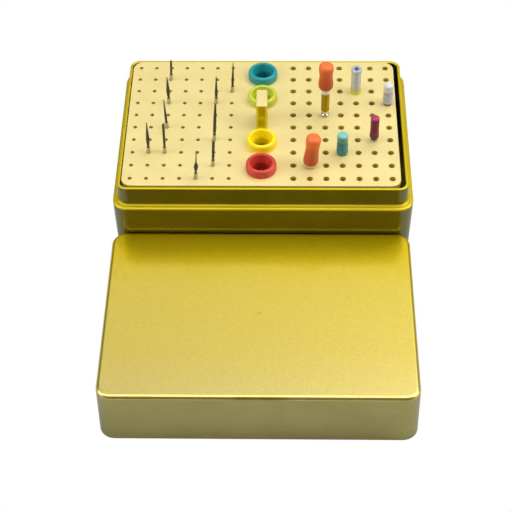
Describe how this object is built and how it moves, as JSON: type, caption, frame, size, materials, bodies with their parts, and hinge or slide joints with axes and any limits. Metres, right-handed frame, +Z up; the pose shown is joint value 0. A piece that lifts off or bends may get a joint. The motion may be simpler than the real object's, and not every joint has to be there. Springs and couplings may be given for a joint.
{
  "type": "dental bur block",
  "caption": "Rectangular gold metal case with its lid off, holding a lift-out drilled rack of burs, polishers, files and coloured silicone grommets.",
  "frame": {"origin": "centre of the underside of the case's base", "axes": "+X to the right along the case, +Y to the back, +Z up; the lid lies in front, towards -Y"},
  "size_m": [0.1292, 0.1809, 0.0785],
  "materials": {
    "case_gold": "gold-anodised, satin",
    "rack_gold": "pale gold-anodised, satin",
    "leg_aluminium": "gold-anodised, turned",
    "screw_steel": "stainless",
    "silicone_teal": "silicone",
    "silicone_lime": "silicone",
    "silicone_yellow": "silicone",
    "silicone_red": "silicone",
    "bur_steel": "diamond-coated head on a steel shank",
    "polisher_orange": "silicone",
    "mandrel_gold": "gold-plated",
    "mandrel_steel": "polished",
    "collar_white": "moulded",
    "driver_steel": "knurled",
    "stop_lime": "silicone",
    "handle_white": "moulded",
    "handle_magenta": "moulded",
    "handle_teal": "moulded",
    "file_steel": "stainless"
  },
  "bodies": {
    "root": {"bar_screw": "screw_steel", "base": "case_gold", "bur_cylinder_front": "bur_steel", "bur_cylinder_long": "bur_steel", "bur_cylinder_short": "bur_steel", "bur_flame_back": "bur_steel", "bur_flame_front": "bur_steel", "bur_needle_back": "bur_steel", "bur_needle_left": "bur_steel", "bur_needle_right": "bur_steel", "bur_stepped_flame": "bur_steel", "bur_torpedo": "bur_steel", "driver_stop_ring": "stop_lime", "file_magenta_blade": "file_steel", "file_magenta_handle": "handle_magenta", "file_teal_blade": "file_steel", "file_teal_handle": "handle_teal", "file_white_blade": "file_steel", "file_white_handle": "handle_white", "grommet_lime": "silicone_lime", "grommet_red": "silicone_red", "grommet_teal": "silicone_teal", "grommet_yellow": "silicone_yellow", "hole_plate": "rack_gold", "leg_back_left": "leg_aluminium", "leg_back_middle": "leg_aluminium", "leg_back_right": "leg_aluminium", "leg_front_left": "leg_aluminium", "leg_front_middle": "leg_aluminium", "leg_front_right": "leg_aluminium", "lid": "case_gold", "lift_bar": "rack_gold", "polisher_short_mandrel": "mandrel_steel", "polisher_short_point": "polisher_orange", "polisher_tall_collar": "collar_white", "polisher_tall_mandrel": "mandrel_gold", "polisher_tall_point": "polisher_orange", "socket_driver": "driver_steel", "stop_plate": "rack_gold"}
  },
  "joints": []
}
